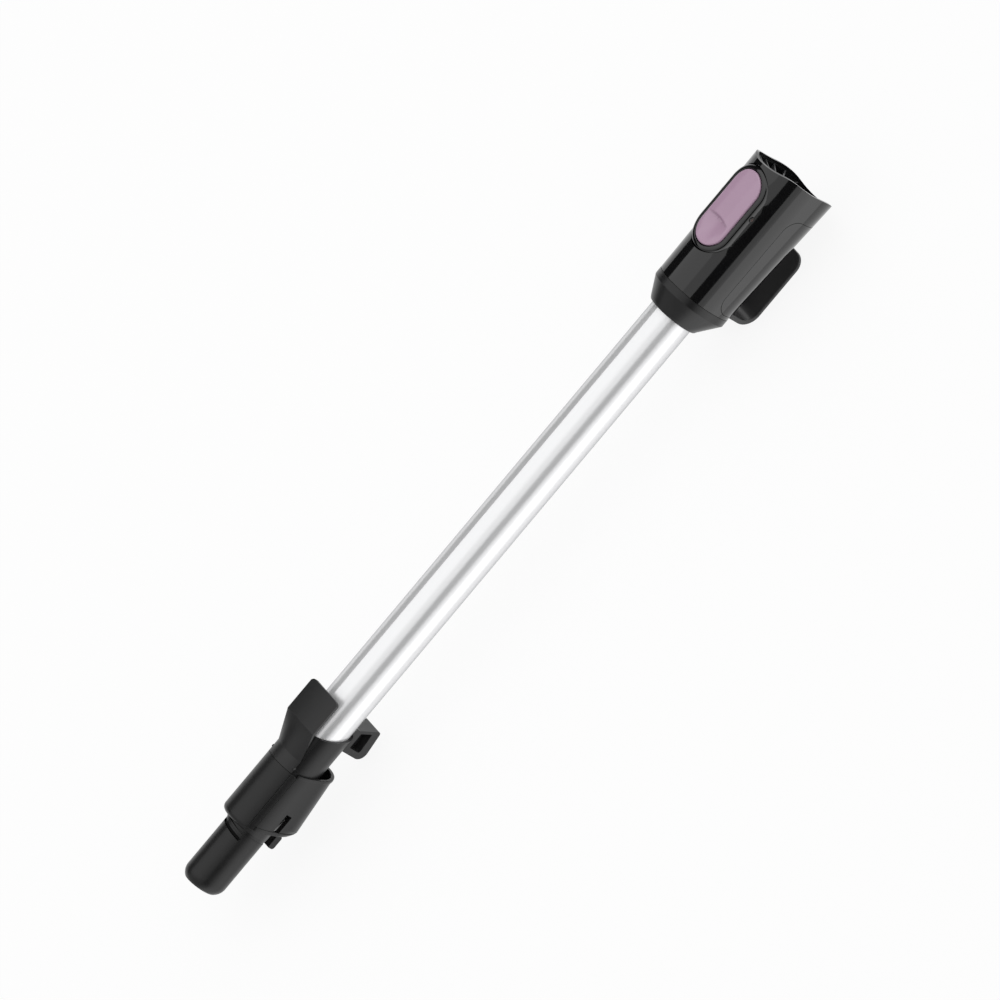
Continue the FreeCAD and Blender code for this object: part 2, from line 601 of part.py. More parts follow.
def catch_lever():
    """A rocking bar whose nose hooks into the floor head behind the spigot."""
    px, pz = catch_pivot()
    out, inn, bar_z = TUBE_Z + CATCH_NOSE_Z, TUBE_Z + CATCH_INNER_Z, TUBE_Z + CATCH_BAR_Z
    nose_x = CATCH_NOSE_X + CATCH_NOSE_LENGTH
    top_z, bevel = TUBE_Z + CATCH_TOP_Z, CATCH_NOSE_BEVEL
    corner = CATCH_NOSE_CORNER_R
    outline = [(CATCH_NOSE_X, inn, corner), (CATCH_NOSE_X, out, bevel), (nose_x - bevel, out, bevel),
               (nose_x, bar_z, 0), (px - CATCH_BOSS_R, bar_z + CATCH_NOSE_BEVEL / 2, 0), (px, pz - CATCH_BOSS_R, 0),
               (CATCH_TOP_X, top_z, corner), (CATCH_TOP_X, top_z + CATCH_THICKNESS, corner),
               (px, pz + CATCH_THICKNESS / 2, 0), (px - CATCH_BOSS_R, pz, 0), (nose_x, inn, 0)]
    bar = rounded_profile(outline, CATCH_WIDTH / 2)
    boss = cross_bar(CATCH_BOSS_R, px, pz, CATCH_WIDTH / 2)
    bar = bar.fuse(boss).removeSplitter()
    return bar.cut(cross_bar(CATCH_PIN_R + PIN_GAP, px, pz, FAR))


def catch_pin():
    """The catch's hinge pin, held in the two lugs."""
    px, pz = catch_pivot()
    return cross_bar(CATCH_PIN_R, px, pz, CATCH_WIDTH / 2 + PANEL_GAP + LUG_THICKNESS)


def catch_spring():
    """A coil that pushes the catch's upper end away from the sleeve."""
    px, pz = catch_pivot()
    share = (CATCH_SPRING_X + SPRING_R - px) / (CATCH_TOP_X - px)
    start_z = pz + CATCH_THICKNESS / 2
    end_z = TUBE_Z + CATCH_TOP_Z + CATCH_THICKNESS
    under = start_z + (end_z - start_z) * share
    return coil(CATCH_SPRING_X, max(under, end_z), TUBE_Z - SLEEVE_R, SPRING_R, 2.5)


def tool_hook():
    """A stiff hook that stands on the tube above the sleeve, with a recess in each side."""
    out, x0, x1 = TUBE_Z - TOOL_HOOK_REACH, TOOL_HOOK_START_X, TOOL_HOOK_END_X
    tongue_x, frame, r = TOOL_HOOK_TONGUE_X, TOOL_HOOK_FRAME, TOOL_HOOK_CORNER_R
    seat = TUBE_Z - TUBE_R + TOOL_HOOK_SEAT_DEPTH
    inner_z = TUBE_Z - TUBE_R - TOOL_HOOK_FOOT
    tip_r, lean = TOOL_HOOK_TIP_R, TOOL_HOOK_LEAN
    half, thin = TOOL_HOOK_HALF_WIDTH, TOOL_HOOK_WEB / 2
    body = rounded_profile([(x0, seat, 0), (x0, out, r), (x1, out + lean, tip_r),
                            (tongue_x, inner_z, tip_r), (tongue_x, seat, 0)], half)
    pocket = [(x0 + frame, inner_z - frame / 2, 1.0), (x0 + frame, out + frame * 1.6, 2.0),
              (x1 - frame, out + frame * 1.6 + lean / 2, 1.0), (tongue_x - frame / 3, inner_z - frame / 2, 1.0)]
    for side in (-1, 1):
        hollow = rounded_profile(pocket, (half - thin) / 2 + EDGE_OFFSET)
        hollow.translate(V(0, side * ((half + thin) / 2 + EDGE_OFFSET), 0))
        body = body.cut(hollow)
    body = body.cut(round_bar(TUBE_R, 0, tongue_x + FAR))
    rim = above_slant(SLEEVE_FRONT_X, SLEEVE_REAR_X, TUBE_Z + SLEEVE_R, TUBE_Z - SLEEVE_R)
    sleeve = round_bar(SLEEVE_R, 0, tongue_x + FAR).cut(rim)
    return largest(body.cut(sleeve))


def side_screw(side):
    """A screw through the sleeve into the tube's wall, under the rear shell."""
    x = COVER_END_X - SCREW_BACK
    start = TUBE_R - TUBE_WALL + PIN_GAP
    length = SLEEVE_R - start
    shank = Part.makeCylinder(SCREW_R, length - SCREW_HEAD, V(x, side * start, TUBE_Z), V(0, side, 0))
    head_at = V(x, side * (SLEEVE_R - SCREW_HEAD), TUBE_Z)
    head = Part.makeCylinder(SCREW_HEAD_R, SCREW_HEAD, head_at, V(0, side, 0))
    return shank.fuse(head).common(round_bar(SLEEVE_R, 0, FAR))


def tube():
    """The bare aluminium tube."""
    body = round_bar(TUBE_R, TUBE_START, TUBE_END)
    body = body.cut(round_bar(TUBE_R - TUBE_WALL, TUBE_START - EDGE_OFFSET, TUBE_END + EDGE_OFFSET))
    return body.cut([side_screw(-1), side_screw(1)])


def collar():
    """The tapered skirt that closes the housing round the tube."""
    x0, x1 = COLLAR_START_X, COLLAR_START_X + COLLAR_CONE_LENGTH
    end = HOUSING_START_X - PANEL_GAP
    e, corner = COLLAR_EDGE_R, math.sqrt(0.5)
    edge = [oval_section(COLLAR_R - e, COLLAR_OVAL, x0), oval_section(COLLAR_R - e * 0.5, COLLAR_OVAL, x0 + e * 0.13),
            oval_section(COLLAR_R - e * (1 - corner), COLLAR_OVAL, x0 + e * (1 - corner) * 1.1),
            oval_section(COLLAR_R + e * 0.12, COLLAR_OVAL, x0 + e)]
    top = [oval_section(HOUSING_R0, HOUSING_REAR0, x1), oval_section(HOUSING_R0, HOUSING_REAR0, end)]
    outside = loft(edge + top)
    inner_r = HOUSING_R0 - COLLAR_WALL
    inside = loft([oval_section(COLLAR_R - COLLAR_WALL, COLLAR_OVAL, x0 + COLLAR_WALL),
                   oval_section(inner_r, HOUSING_REAR0, x1), oval_section(inner_r, HOUSING_REAR0, end + EDGE_OFFSET)])
    return outside.cut([inside, round_bar(TUBE_R, 0, end + FAR)])


def panel_window(grow):
    """The rear panel's outline, seen from the side, as a bar across the housing."""
    z_split = TUBE_Z + grow
    x0, x1 = PANEL_START_X - grow, PANEL_END_X + grow
    bar = block(x0, x1, -FAR, FAR, -FAR, z_split)
    edges = [e for e in bar.Edges if abs(e.BoundBox.ZMin - z_split) < 1e-6 and e.BoundBox.YLength > FAR]
    return bar.makeFillet(PANEL_CORNER_R, edges)


def upper_shell():
    """The glossy housing, open at its mouth, with windows for button and panel."""
    outside = housing_solid()
    inside = housing_solid(HOUSING_WALL)
    shell = outside.cut(inside)
    shell = shell.cut(mouth_cut())
    shell = shell.cut(panel_window(0.0))
    return largest(shell.cut(button_platform(0, FAR, BEZEL_GROW)))


def rear_panel():
    """The panel let into the rear half of the housing."""
    skin = housing_solid().cut(housing_solid(HOUSING_WALL))
    return largest(skin.common(panel_window(-PANEL_GAP)).cut(mouth_cut()))


def hanging_hook():
    """A broad J-shaped hook: foot on the rear panel, bend, and a flat plate."""
    out, x0, x1, t = TUBE_Z - HOOK_REACH, HOOK_START_X, HOOK_END_X, HOOK_THICKNESS
    root_z = TUBE_Z - HOUSING_R0 + HOOK_ROOT_DEPTH
    body = rounded_profile([(x0, root_z, 0), (x0, out, HOOK_BEND_R), (x1, out, 0), (x1, out + t, 0),
                            (x0 + HOOK_FLOOR, out + t, HOOK_BEND_R - t), (x0 + HOOK_FLOOR, root_z, 0)],
                           HOOK_HALF_WIDTH)
    body = body.common(rounded_plate(x0 - EDGE_OFFSET, x1, HOOK_HALF_WIDTH, HOOK_CORNER_R, -FAR, FAR))
    rim = []
    for e in body.Edges:
        box = e.BoundBox
        along = box.XLength > HOOK_EDGE_R and box.YLength < 2 * HOOK_HALF_WIDTH - EDGE_OFFSET
        upright = box.ZLength > HOOK_FLOOR + EDGE_OFFSET and box.XLength < HOOK_EDGE_R
        tip = box.XMin > x1 - PIN_GAP and box.YLength > HOOK_EDGE_R
        if along or upright or tip:
            rim.append(e)
    body = body.makeFillet(HOOK_EDGE_R, rim)
    return largest(body.cut(housing_solid()))


def button_platform(z0, z1, grow):
    """The racetrack under the button, grown outwards by a named width."""
    return slot_prism(BUTTON_START_X - grow, BUTTON_END_X + grow, BUTTON_HALF_WIDTH + grow,
                      TUBE_Z + z0, TUBE_Z + z1)


def crown(z, r, x0, x1):
    """A long cylinder whose crest lies at z above the tube's axis."""
    return round_bar(r, x0, x1, TUBE_Z + z - r)


def crown_face(shape):
    """The topmost face."""
    return max(shape.Faces, key=lambda f: f.CenterOfMass.z)


def button_bezel():
    """The raised racetrack ring round the button, its upper edges rounded."""
    ring = button_platform(BEZEL_FACE_Z - BEZEL_DEPTH, FAR, BEZEL_GROW)
    ring = ring.common(crown(BEZEL_FACE_Z, BUTTON_CROWN_R, BUTTON_START_X - FAR, BUTTON_END_X + FAR))
    ring = ring.makeFillet(BEZEL_OUTER_R, crown_face(ring).OuterWire.Edges)
    ring = ring.cut(button_platform(0, FAR, BUTTON_GAP))
    top = crown_face(ring)
    inner = min(top.Wires, key=lambda w: w.BoundBox.YLength)
    ring = ring.makeFillet(BEZEL_INNER_R, inner.Edges)
    pin = cross_bar(PIVOT_PIN_R, PIVOT_X, TUBE_Z + PIVOT_Z, PIVOT_PIN_HALF)
    return ring.cut(pin)


def release_button():
    """The rocking thumb button, scooped where the thumb presses."""
    low_x, high_x = BUTTON_START_X - EDGE_OFFSET, BUTTON_END_X + EDGE_OFFSET
    face = crown(BUTTON_FACE_Z, BUTTON_CROWN_R, low_x, high_x)
    under = crown(BUTTON_FACE_Z - BUTTON_THICKNESS, BUTTON_CROWN_R, low_x, high_x)
    cap = button_platform(0, FAR, 0).common(face)
    cap = cap.makeFillet(BUTTON_EDGE_R, crown_face(cap).OuterWire.Edges)
    cap = cap.cut(under)
    scoop_z = TUBE_Z + BUTTON_FACE_Z - BUTTON_SCOOP_DEPTH + BUTTON_SCOOP_R
    scoop = cross_bar(BUTTON_SCOOP_R, BUTTON_START_X + BUTTON_SCOOP_OFFSET, scoop_z, BUTTON_HALF_WIDTH + EDGE_OFFSET)
    cap = cap.cut(scoop.common(block(low_x, BUTTON_START_X + BUTTON_SCOOP_LENGTH, -FAR, FAR, -FAR, FAR)))
    px, pz = PIVOT_X, TUBE_Z + PIVOT_Z
    ear_y, ear_r = BUTTON_HALF_WIDTH - BUTTON_EAR_R, BUTTON_EAR_R
    for side in (-1, 1):
        y0, y1 = sorted((side * ear_y, side * (ear_y - BUTTON_EAR)))
        ear = block(px - ear_r, px + ear_r, y0, y1, pz, TUBE_Z + FAR).fuse(
            Part.makeCylinder(ear_r, y1 - y0, V(px, y0, pz), V(0, 1, 0)))
        ear = ear.common(crown(BUTTON_FACE_Z - EDGE_OFFSET, BUTTON_CROWN_R, low_x, high_x))
        cap = cap.fuse(ear)
    return cap.cut(cross_bar(PIVOT_PIN_R + PIN_GAP, px, pz, FAR)).removeSplitter()


def latch_arm():
    """The arm under the button, with the tooth that holds the machine."""
    x0, x1 = PIVOT_X + ARM_START, SOCKET_END_X - ARM_INSET
    half = ARM_WIDTH / 2
    low = TUBE_Z + SOCKET_R + SOCKET_WALL + ARM_RISE
    arm = block(x0, x1, -half, half, low, low + ARM_THICKNESS)
    post = block(x0, x0 + ARM_POST, -half, half, low, TUBE_Z + FAR)
    tooth = block(x1 - TOOTH_LENGTH, x1, -half, half, TUBE_Z + SOCKET_R - TOOTH_BITE, low)
    arm = arm.fuse([post, tooth]).removeSplitter()
    return arm.common(crown(BUTTON_FACE_Z - BUTTON_THICKNESS, BUTTON_CROWN_R, x0 - FAR, x1 + FAR))


def button_pin():
    """The button's pivot, whose ends show in the bezel's flanks."""
    return cross_bar(PIVOT_PIN_R, PIVOT_X, TUBE_Z + PIVOT_Z, PIVOT_PIN_HALF)


def button_spring():
    """A coil under the thumb end of the button."""
    top = TUBE_Z + BUTTON_FACE_Z - BUTTON_THICKNESS - SPRING_WIRE_R / 2
    return coil(BUTTON_SPRING_X, TUBE_Z + SEAT_R, top, SPRING_R, 3)


def socket_duct():
    """The inner socket, its seat on the tube, and the ribs out to the housing."""
    outer = round_bar(SOCKET_R + SOCKET_WALL, TUBE_END, SOCKET_END_X)
    seat = round_bar(SEAT_R, TUBE_END - SOCKET_SEAT_DEPTH, TUBE_END + SOCKET_SEAT_BEYOND)
    ribs = []
    for i in range(RIB_COUNT):
        angle = RIB_FIRST_ANGLE + 360.0 / RIB_COUNT * i
        in_front = math.cos(math.radians(angle)) > 0.1
        start = SOCKET_END_X - RIB_SHORT if in_front else TUBE_END
        rib = block(start, SOCKET_END_X, -RIB_THICKNESS / 2, RIB_THICKNESS / 2, SOCKET_R + SOCKET_LEAD_GROW, FAR)
        rib.rotate(V(0, 0, 0), V(1, 0, 0), angle)
        rib.translate(V(0, 0, TUBE_Z))
        ribs.append(rib)
    spokes = Part.makeCompound(ribs).common(housing_solid(HOUSING_WALL))
    clear_z, clear = BEZEL_FACE_Z - BEZEL_DEPTH - PANEL_GAP, BEZEL_GROW + PANEL_GAP
    spokes = spokes.cut(button_platform(clear_z, FAR, clear))
    body = outer.fuse([seat] + spokes.Solids)
    lead_x = SOCKET_END_X - SOCKET_LEAD
    body = body.cut([round_bar(SOCKET_R, TUBE_END, SOCKET_END_X + FAR), round_bar(TUBE_R, 0, TUBE_END),
                     round_bar(SOCKET_R + SOCKET_LEAD_GROW, lead_x, SOCKET_END_X + FAR)])
    tooth_x = SOCKET_END_X - ARM_INSET
    half = ARM_WIDTH / 2 + ARM_GAP
    window = block(tooth_x - TOOTH_LENGTH - ARM_GAP, tooth_x + ARM_GAP, -half, half, TUBE_Z, TUBE_Z + FAR)
    return largest(body.cut([window, seal_groove()]).removeSplitter())


def seal_groove():
    """The disc that the seal's groove leaves room for."""
    x0 = TUBE_END + SEAL_OFFSET
    return round_bar(SOCKET_R + SEAL_THICKNESS, x0, x0 + SEAL_LENGTH)


def socket_seal():
    """A rubber ring in the socket's groove, flush with its wall when relaxed."""
    x0 = TUBE_END + SEAL_OFFSET
    return seal_groove().cut(round_bar(SOCKET_R, x0 - EDGE_OFFSET, x0 + SEAL_LENGTH + EDGE_OFFSET))


PIECES = {
    "lower_body": lower_body,
    "front_cover": front_cover,
    "release_pedal": release_pedal,
    "pedal_pins": pedal_pins,
    "pedal_spring": pedal_spring,
    "rear_shell": rear_shell,
    "catch_lever": catch_lever,
    "catch_pin": catch_pin,
    "catch_spring": catch_spring,
    "tool_hook": tool_hook,
    "sleeve_screws": lambda: Part.makeCompound([side_screw(-1), side_screw(1)]),
    "tube": tube,
    "collar": collar,
    "upper_shell": upper_shell,
    "rear_panel": rear_panel,
    "hanging_hook": hanging_hook,
    "button_bezel": button_bezel,
    "release_button": release_button,
    "latch_arm": latch_arm,
    "button_pin": button_pin,
    "button_spring": button_spring,
    "socket_duct": socket_duct,
    "socket_seal": socket_seal,
}

os.makedirs("parts", exist_ok=True)
for node, make in PIECES.items():
    shape = make()
    shape.translate(V(-ORIGIN_X, 0, 0))
    shape.exportStep("parts/%s.step" % node)
    print(node, shape.isValid(), len(shape.Solids), round(shape.Volume))
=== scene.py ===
import bpy
import json
import math
from mathutils import Matrix, Vector

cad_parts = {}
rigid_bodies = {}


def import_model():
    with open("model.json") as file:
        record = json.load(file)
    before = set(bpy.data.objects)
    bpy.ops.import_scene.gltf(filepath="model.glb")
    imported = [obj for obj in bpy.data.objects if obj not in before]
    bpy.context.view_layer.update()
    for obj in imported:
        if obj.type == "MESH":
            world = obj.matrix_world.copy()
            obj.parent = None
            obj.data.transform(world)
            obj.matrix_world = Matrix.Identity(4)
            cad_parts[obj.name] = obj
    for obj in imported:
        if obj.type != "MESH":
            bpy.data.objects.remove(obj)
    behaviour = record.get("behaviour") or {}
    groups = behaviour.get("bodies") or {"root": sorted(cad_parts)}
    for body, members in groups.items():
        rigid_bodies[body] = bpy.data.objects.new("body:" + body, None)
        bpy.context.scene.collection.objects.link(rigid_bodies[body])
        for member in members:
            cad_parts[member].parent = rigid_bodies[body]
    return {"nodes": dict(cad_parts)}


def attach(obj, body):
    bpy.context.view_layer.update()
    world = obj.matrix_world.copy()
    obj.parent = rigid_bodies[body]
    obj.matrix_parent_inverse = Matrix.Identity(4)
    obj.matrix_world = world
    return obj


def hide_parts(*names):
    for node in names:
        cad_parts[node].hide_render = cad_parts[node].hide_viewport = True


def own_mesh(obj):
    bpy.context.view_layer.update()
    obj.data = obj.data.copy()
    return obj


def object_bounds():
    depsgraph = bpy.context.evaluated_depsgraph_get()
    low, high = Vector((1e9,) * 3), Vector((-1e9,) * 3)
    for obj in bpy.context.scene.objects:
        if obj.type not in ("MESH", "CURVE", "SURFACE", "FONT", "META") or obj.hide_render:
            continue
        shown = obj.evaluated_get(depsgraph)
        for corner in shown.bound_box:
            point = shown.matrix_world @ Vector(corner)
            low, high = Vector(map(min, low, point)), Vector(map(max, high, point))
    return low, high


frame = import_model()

# The extension wand of a stick vacuum cleaner lies along X, from the spigot for
# the floor head to the socket for the machine, with its front up. Metres.
cad_box = [list(corner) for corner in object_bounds()]
cad = frame["nodes"]
for thing in bpy.context.scene.objects:
    thing.select_set(False)

# Camera: it looks across the wand from above one side. The wand runs up to the
# right of the picture, and its socket end leans 9 degrees towards the camera.
TUBE_AXIS_Z = 0.0039
WAND_MIDDLE = 0.33
ACROSS = Vector((0.0, -0.743, -0.669))
TOWARDS = Vector((0.0, -0.669, 0.743))
ALONG = Vector((1.0, 0.0, 0.0))
LEAN = math.radians(9.2)
PICTURE_TURN = math.radians(50.01)
PICTURE_SPAN = 0.7205
PICTURE_MIDDLE = Vector((0.332, 0.0, TUBE_AXIS_Z)) - ACROSS * 0.0097
CAMERA_DISTANCE = 2.5
wand_up = ALONG * math.cos(LEAN) - TOWARDS * math.sin(LEAN)
view_right = ACROSS * math.sin(PICTURE_TURN) + wand_up * math.cos(PICTURE_TURN)
view_up = wand_up * math.sin(PICTURE_TURN) - ACROSS * math.cos(PICTURE_TURN)
view_back = view_right.cross(view_up).normalized()
camera = bpy.data.objects.new("camera", bpy.data.cameras.new("camera"))
camera.data.type = "ORTHO"
camera.data.ortho_scale = PICTURE_SPAN
camera.data.clip_start = 0.01
camera.data.clip_end = 20.0
turn = Matrix((view_right, view_up, view_back)).transposed()
camera.matrix_world = Matrix.Translation(PICTURE_MIDDLE + view_back * CAMERA_DISTANCE) @ turn.to_4x4()
bpy.context.scene.collection.objects.link(camera)
bpy.context.scene.camera = camera
bpy.context.scene.view_settings.view_transform = "Standard"

# Light: a white room, a wide soft lamp overhead and a low panel beside the floor. A
# black card at each side is hidden from the camera and draws the dark lines.
ROOM_LIGHT = 0.94
ROOM_FALL = 0.5
LAMP_RADIANCE = 0.3
LAMP_SIZE = (2.6, 1.7)
LAMP_PLACE = (WAND_MIDDLE, 0.35, 1.35)
LOW_PANEL_RADIANCE = 0.55
LOW_PANEL_SIZE = (1.3, 0.42)
LOW_PANEL_PLACE = (WAND_MIDDLE, -0.27, -0.047)
CARD_LENGTH = 3.2
CARD_RANGE = 1.5
CARDS = (("card_near", -1, 12, 41), ("card_far", 1, 13, 47))
room = bpy.data.worlds.new("white_room")
bpy.context.scene.world = room
room.use_nodes = True
room.node_tree.nodes["Background"].inputs["Color"].default_value = (1.0, 1.0, 1.0, 1.0)
tree = room.node_tree
bearing = tree.nodes.new("ShaderNodeTexCoord")
parts = tree.nodes.new("ShaderNodeSeparateXYZ")
tree.links.new(bearing.outputs["Generated"], parts.inputs[0])
fall = tree.nodes.new("ShaderNodeMapRange")
fall.inputs["From Min"].default_value = -1.0
fall.inputs["From Max"].default_value = 1.0
fall.inputs["To Min"].default_value = ROOM_LIGHT - ROOM_FALL
fall.inputs["To Max"].default_value = ROOM_LIGHT + ROOM_FALL
tree.links.new(parts.outputs["X"], fall.inputs["Value"])
tree.links.new(fall.outputs["Result"], tree.nodes["Background"].inputs["Strength"])
overhead = bpy.data.lights.new("overhead", "AREA")
overhead.shape = "RECTANGLE"
overhead.size, overhead.size_y = LAMP_SIZE
overhead.energy = LAMP_RADIANCE * math.pi * LAMP_SIZE[0] * LAMP_SIZE[1]
lamp = bpy.data.objects.new("overhead", overhead)
lamp.location = LAMP_PLACE
bpy.context.scene.collection.objects.link(lamp)
low = bpy.data.lights.new("low_panel", "AREA")
low.shape = "RECTANGLE"
low.size, low.size_y = LOW_PANEL_SIZE
low.energy = LOW_PANEL_RADIANCE * math.pi * LOW_PANEL_SIZE[0] * LOW_PANEL_SIZE[1]
panel = bpy.data.objects.new("low_panel", low)
panel.location = LOW_PANEL_PLACE
panel.rotation_euler = (math.pi, 0.0, 0.0)
panel.visible_camera = False
bpy.context.scene.collection.objects.link(panel)
card_paint = bpy.data.materials.new("card_black")
card_paint.use_nodes = True
flat = card_paint.node_tree.nodes["Principled BSDF"]
flat.inputs["Base Color"].default_value = (0.01, 0.01, 0.01, 1.0)
flat.inputs["Roughness"].default_value = 1.0
for name, side, low, high in CARDS:
    middle = math.radians((low + high) / 2)
    height = 2 * CARD_RANGE * math.tan(math.radians((high - low) / 2))
    bpy.ops.mesh.primitive_plane_add(size=1.0)
    card = bpy.context.object
    card.name = name
    card.scale = (CARD_LENGTH, height, 1.0)
    card.rotation_euler = (side * (math.pi / 2 + middle), 0.0, 0.0)
    card.location = (WAND_MIDDLE, side * CARD_RANGE * math.cos(middle), CARD_RANGE * math.sin(middle))
    card.data.materials.append(card_paint)
    card.visible_camera = False
    card.visible_diffuse = False
    card.visible_shadow = False
    card.select_set(False)

# Floor: a pale matt sheet, as wide as a room. The camera and reflections see it
# close to white, and it keeps the wand's soft shadow.
FLOOR_SIZE = 8.0
FLOOR_WHITE = 0.88
FLOOR_GAP = 0.0003
bpy.ops.mesh.primitive_plane_add(size=FLOOR_SIZE, location=(WAND_MIDDLE, 0.0, cad_box[0][2] - FLOOR_GAP))
floor = bpy.context.object
floor.name = "floor"
floor.select_set(False)
floor_paint = bpy.data.materials.new("floor_paint")
floor_paint.use_nodes = True
tree = floor_paint.node_tree
matt = tree.nodes["Principled BSDF"]
matt.inputs["Base Color"].default_value = (0.82, 0.82, 0.82, 1.0)
matt.inputs["Roughness"].default_value = 0.95
matt.inputs["Specular IOR Level"].default_value = 0.0
white = tree.nodes.new("ShaderNodeEmission")
white.inputs["Strength"].default_value = 1.0
path = tree.nodes.new("ShaderNodeLightPath")
seen = tree.nodes.new("ShaderNodeMath")
seen.operation = "MAXIMUM"
tree.links.new(path.outputs["Is Camera Ray"], seen.inputs[0])
tree.links.new(path.outputs["Is Glossy Ray"], seen.inputs[1])
through = tree.nodes.new("ShaderNodeMath")
through.operation = "MAXIMUM"
tree.links.new(seen.outputs[0], through.inputs[0])
tree.links.new(path.outputs["Is Transmission Ray"], through.inputs[1])
share = tree.nodes.new("ShaderNodeMath")
share.operation = "MULTIPLY"
share.inputs[1].default_value = FLOOR_WHITE
tree.links.new(through.outputs[0], share.inputs[0])
mixed = tree.nodes.new("ShaderNodeMixShader")
tree.links.new(share.outputs[0], mixed.inputs[0])
tree.links.new(matt.outputs[0], mixed.inputs[1])
tree.links.new(white.outputs[0], mixed.inputs[2])
tree.links.new(mixed.outputs[0], tree.nodes["Material Output"].inputs["Surface"])
floor.data.materials.append(floor_paint)


# Spigot, neck and sleeve: one moulding in black glass-filled nylon with a fine
# satin skin. Its grain and its faint flow clouds come from the mould and the melt.


def moulded_plastic(name, colour, roughness, spread=0.06, grain=1800.0, relief=0.00002, ior=1.5,
                    cloud=0.1):
    """A moulded skin: clouds in colour and roughness, and a fine grain."""
    paint = bpy.data.materials.new(name)
    paint.use_nodes = True
    tree = paint.node_tree
    shader = tree.nodes["Principled BSDF"]
    place = tree.nodes.new("ShaderNodeTexCoord")
    clouds = tree.nodes.new("ShaderNodeTexNoise")
    clouds.inputs["Scale"].default_value = 60.0
    clouds.inputs["Detail"].default_value = 4.0
    tree.links.new(place.outputs["Object"], clouds.inputs["Vector"])
    tint = tree.nodes.new("ShaderNodeValToRGB")
    tint.color_ramp.elements[0].position = 0.3
    tint.color_ramp.elements[1].position = 0.7
    tint.color_ramp.elements[0].color = (*[c * (1.0 - cloud) for c in colour], 1.0)
    tint.color_ramp.elements[1].color = (*[c * (1.0 + cloud) for c in colour], 1.0)
    tree.links.new(clouds.outputs["Fac"], tint.inputs["Fac"])
    tree.links.new(tint.outputs["Color"], shader.inputs["Base Color"])
    skin = tree.nodes.new("ShaderNodeTexNoise")
    skin.inputs["Scale"].default_value = grain
    skin.inputs["Detail"].default_value = 3.0
    tree.links.new(place.outputs["Object"], skin.inputs["Vector"])
    rough = tree.nodes.new("ShaderNodeMapRange")
    rough.inputs["From Min"].default_value = 0.3
    rough.inputs["From Max"].default_value = 0.7
    rough.inputs["To Min"].default_value = roughness - spread / 2
    rough.inputs["To Max"].default_value = roughness + spread / 2
    tree.links.new(clouds.outputs["Fac"], rough.inputs["Value"])
    tree.links.new(rough.outputs["Result"], shader.inputs["Roughness"])
    bump = tree.nodes.new("ShaderNodeBump")
    bump.inputs["Strength"].default_value = 1.0
    bump.inputs["Distance"].default_value = relief
    tree.links.new(skin.outputs["Fac"], bump.inputs["Height"])
    tree.links.new(bump.outputs["Normal"], shader.inputs["Normal"])
    shader.inputs["IOR"].default_value = ior
    return paint


def finish_node(node, paint):
    """Gives a construction node its finish in all its own material slots."""
    slots = cad[node].material_slots
    for slot in slots:
        slot.material = paint
    if not slots:
        cad[node].data.materials.append(paint)


satin_black = moulded_plastic("satin_black", (0.0065, 0.0065, 0.0067), 0.36, ior=1.42)
finish_node("lower_body", satin_black)


def pick(piece, test):
    """Opens a piece in edit mode with only the vertices that pass a test selected."""
    bpy.ops.object.mode_set(mode="EDIT")
    bpy.ops.mesh.select_mode(type="VERT")
    bpy.ops.mesh.select_all(action="DESELECT")
    bpy.ops.object.mode_set(mode="OBJECT")
    for vertex in piece.data.vertices:
        vertex.select = bool(test(vertex.co))
    bpy.ops.object.mode_set(mode="EDIT")


def soften(piece, width, angle=35.0):
    """Rounds the sharp edges of a moulding, shades it smooth and leaves it unselected."""
    edge = piece.modifiers.new("edge", "BEVEL")
    edge.width = width
    edge.segments = 3
    edge.limit_method = "ANGLE"
    edge.angle_limit = math.radians(angle)
    bpy.context.view_layer.objects.active = piece
    piece.select_set(True)
    bpy.ops.object.modifier_apply(modifier="edge")
    bpy.ops.object.shade_smooth_by_angle(angle=math.radians(angle))
    piece.select_set(False)


# Slot floor, catch lip and side rails: a dull near-black strip lining the floor of the
# slot in the spigot as painted shade, a low bead above it and a rail down each side of
# the front cover. The bead and the rails are moulded in one with the black sleeve.
SLOT_RADIUS = 0.0154
SLOT_WALL = 0.0007
SLOT_LOW = 0.0225
SLOT_HIGH = 0.0248
LIP_RADIUS = 0.0172
LIP_WALL = 0.0009
LIP_LOW = 0.0262
LIP_HIGH = 0.0284
LIP_HALF_ANGLE = 44.0
LIP_SLANT = 8.8
RAIL_RADIUS = 0.02125
RAIL_WALL = 0.0015
RAIL_LOW = 0.034
RAIL_HIGH = 0.0842
RAIL_START = 48.0
RAIL_END = 62.0
STRIP_MARGIN = 0.2
STRIP_EDGE_SHARE = 0.4


def curved_strip(name, radius, wall, low, high, start, end, height, slant=0.0, paint=satin_black):
    """A curved strip of moulding between two angles, counted from the front."""
    bpy.ops.mesh.primitive_cylinder_add(vertices=360, radius=radius, depth=high - low,
                                        end_fill_type="NOTHING",
                                        location=((low + high) / 2, 0.0, height),
                                        rotation=(0.0, math.pi / 2, 0.0))
    strip = bpy.context.object
    strip.name = name
    bpy.ops.object.transform_apply(location=True, rotation=True, scale=True)
    edges = (start - STRIP_MARGIN, end + STRIP_MARGIN)
    pick(strip, lambda co: not edges[0] < math.degrees(math.atan2(-co.y, co.z - height)) < edges[1])
    bpy.ops.mesh.delete(type="VERT")
    bpy.ops.object.mode_set(mode="OBJECT")
    slope = math.tan(math.radians(slant))
    for vertex in strip.data.vertices:
        vertex.co.x += vertex.co.y * slope
    skin = strip.modifiers.new("skin", "SOLIDIFY")
    skin.thickness = wall
    skin.offset = -1.0
    bpy.ops.object.modifier_apply(modifier="skin")
    soften(strip, wall * STRIP_EDGE_SHARE)
    strip.data.materials.append(paint)
    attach(strip, "wand")
